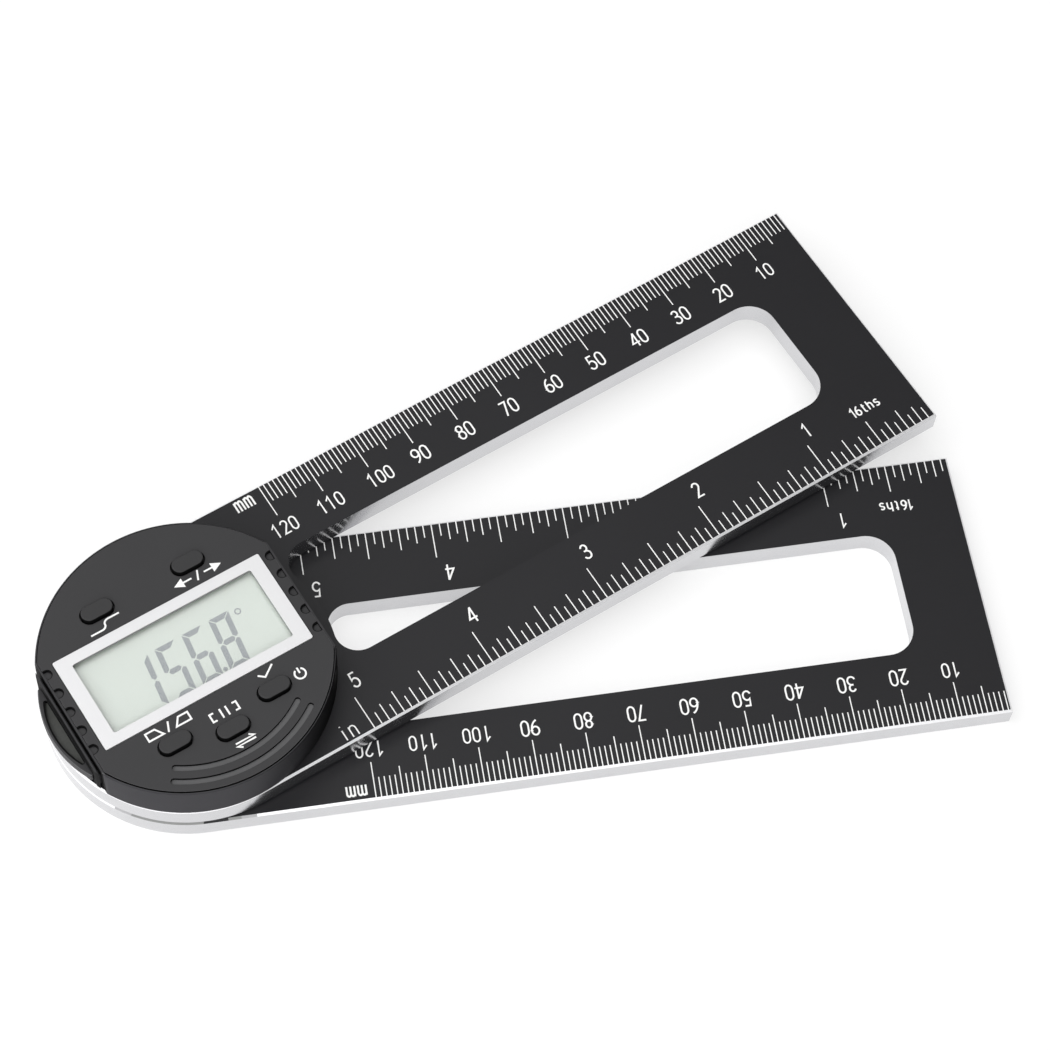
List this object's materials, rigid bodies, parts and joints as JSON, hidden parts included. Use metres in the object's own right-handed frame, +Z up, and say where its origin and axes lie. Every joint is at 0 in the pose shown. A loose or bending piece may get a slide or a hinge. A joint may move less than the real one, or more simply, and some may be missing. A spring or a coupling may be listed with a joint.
{
  "type": "digital angle finder",
  "caption": "Digital angle finder: two flat windowed rule blades stacked on one pivot, with a round display head and buttons over it.",
  "frame": {"origin": "on the pivot axis, at the underside of the lower blade, where the hub's flange lies flush", "axes": "+X along the upper blade to its square end, +Y across it to its millimetre edge, +Z up through the display"},
  "size_m": [0.1785, 0.1114, 0.0198],
  "materials": {
    "anodised_black": "satin black anodised with bare bright edges",
    "steel": "machined",
    "cell_steel": "nickel plated",
    "brass": "machined",
    "nylon": "natural",
    "circuit_board": "green solder mask",
    "case_plastic": "fine moulded texture",
    "button_rubber": "matt",
    "component_black": "moulded",
    "bezel_silver": "light silver",
    "lens_clear": "clear window",
    "liquid_crystal": "grey-green display glass",
    "conductive_rubber": "layered"
  },
  "bodies": {
    "lower_arm": {"lower_blade": "anodised_black", "pivot_hub": "steel", "hub_screw_1": "steel", "hub_screw_2": "steel", "hub_screw_3": "steel", "thrust_washer": "nylon", "spring_washer": "steel", "rotor_carrier": "brass", "rotor_screw_1": "steel", "rotor_screw_2": "steel", "rotor_screw_3": "steel", "rotor_disc": "circuit_board"},
    "upper_arm": {"upper_blade": "anodised_black", "pivot_bush": "brass", "case_body": "case_plastic", "case_screw_1": "steel", "case_screw_2": "steel", "case_screw_3": "steel", "case_screw_4": "steel", "top_cover": "case_plastic", "main_board": "circuit_board", "board_screw_1": "steel", "board_screw_2": "steel", "controller_chip": "component_black", "lower_contact": "brass", "side_contact": "brass", "display_tray": "nylon", "zebra_strip": "conductive_rubber", "lcd_panel": "liquid_crystal", "display_lens": "lens_clear", "display_bezel": "bezel_silver", "switch_upper_left": "component_black", "switch_upper_right": "component_black", "switch_lower_left": "component_black", "switch_lower_middle": "component_black", "switch_lower_right": "component_black"},
    "battery_holder": {"battery_drawer": "case_plastic", "coin_cell": "cell_steel"},
    "button_upper_left": {"button_upper_left": "button_rubber"},
    "button_upper_right": {"button_upper_right": "button_rubber"},
    "button_lower_left": {"button_lower_left": "button_rubber"},
    "button_lower_middle": {"button_lower_middle": "button_rubber"},
    "button_lower_right": {"button_lower_right": "button_rubber"}
  },
  "joints": [
    {"name": "arm_pivot", "type": "hinge", "parent": "lower_arm", "child": "upper_arm", "pos_m": [0, 0, 0.00542], "axis": [0, 0, 1], "continuous": true},
    {"name": "drawer_slide", "type": "slide", "parent": "upper_arm", "child": "battery_holder", "axis": [-1, 0, 0], "range_m": [0, 0.0215]},
    {"name": "button_upper_left_press", "type": "slide", "parent": "upper_arm", "child": "button_upper_left", "axis": [0, 0, -1], "range_m": [0, 0.0006], "stiffness_N_per_m": 1500},
    {"name": "button_upper_right_press", "type": "slide", "parent": "upper_arm", "child": "button_upper_right", "axis": [0, 0, -1], "range_m": [0, 0.0006], "stiffness_N_per_m": 1500},
    {"name": "button_lower_left_press", "type": "slide", "parent": "upper_arm", "child": "button_lower_left", "axis": [0, 0, -1], "range_m": [0, 0.0006], "stiffness_N_per_m": 1500},
    {"name": "button_lower_middle_press", "type": "slide", "parent": "upper_arm", "child": "button_lower_middle", "axis": [0, 0, -1], "range_m": [0, 0.0006], "stiffness_N_per_m": 1500},
    {"name": "button_lower_right_press", "type": "slide", "parent": "upper_arm", "child": "button_lower_right", "axis": [0, 0, -1], "range_m": [0, 0.0006], "stiffness_N_per_m": 1500}
  ]
}
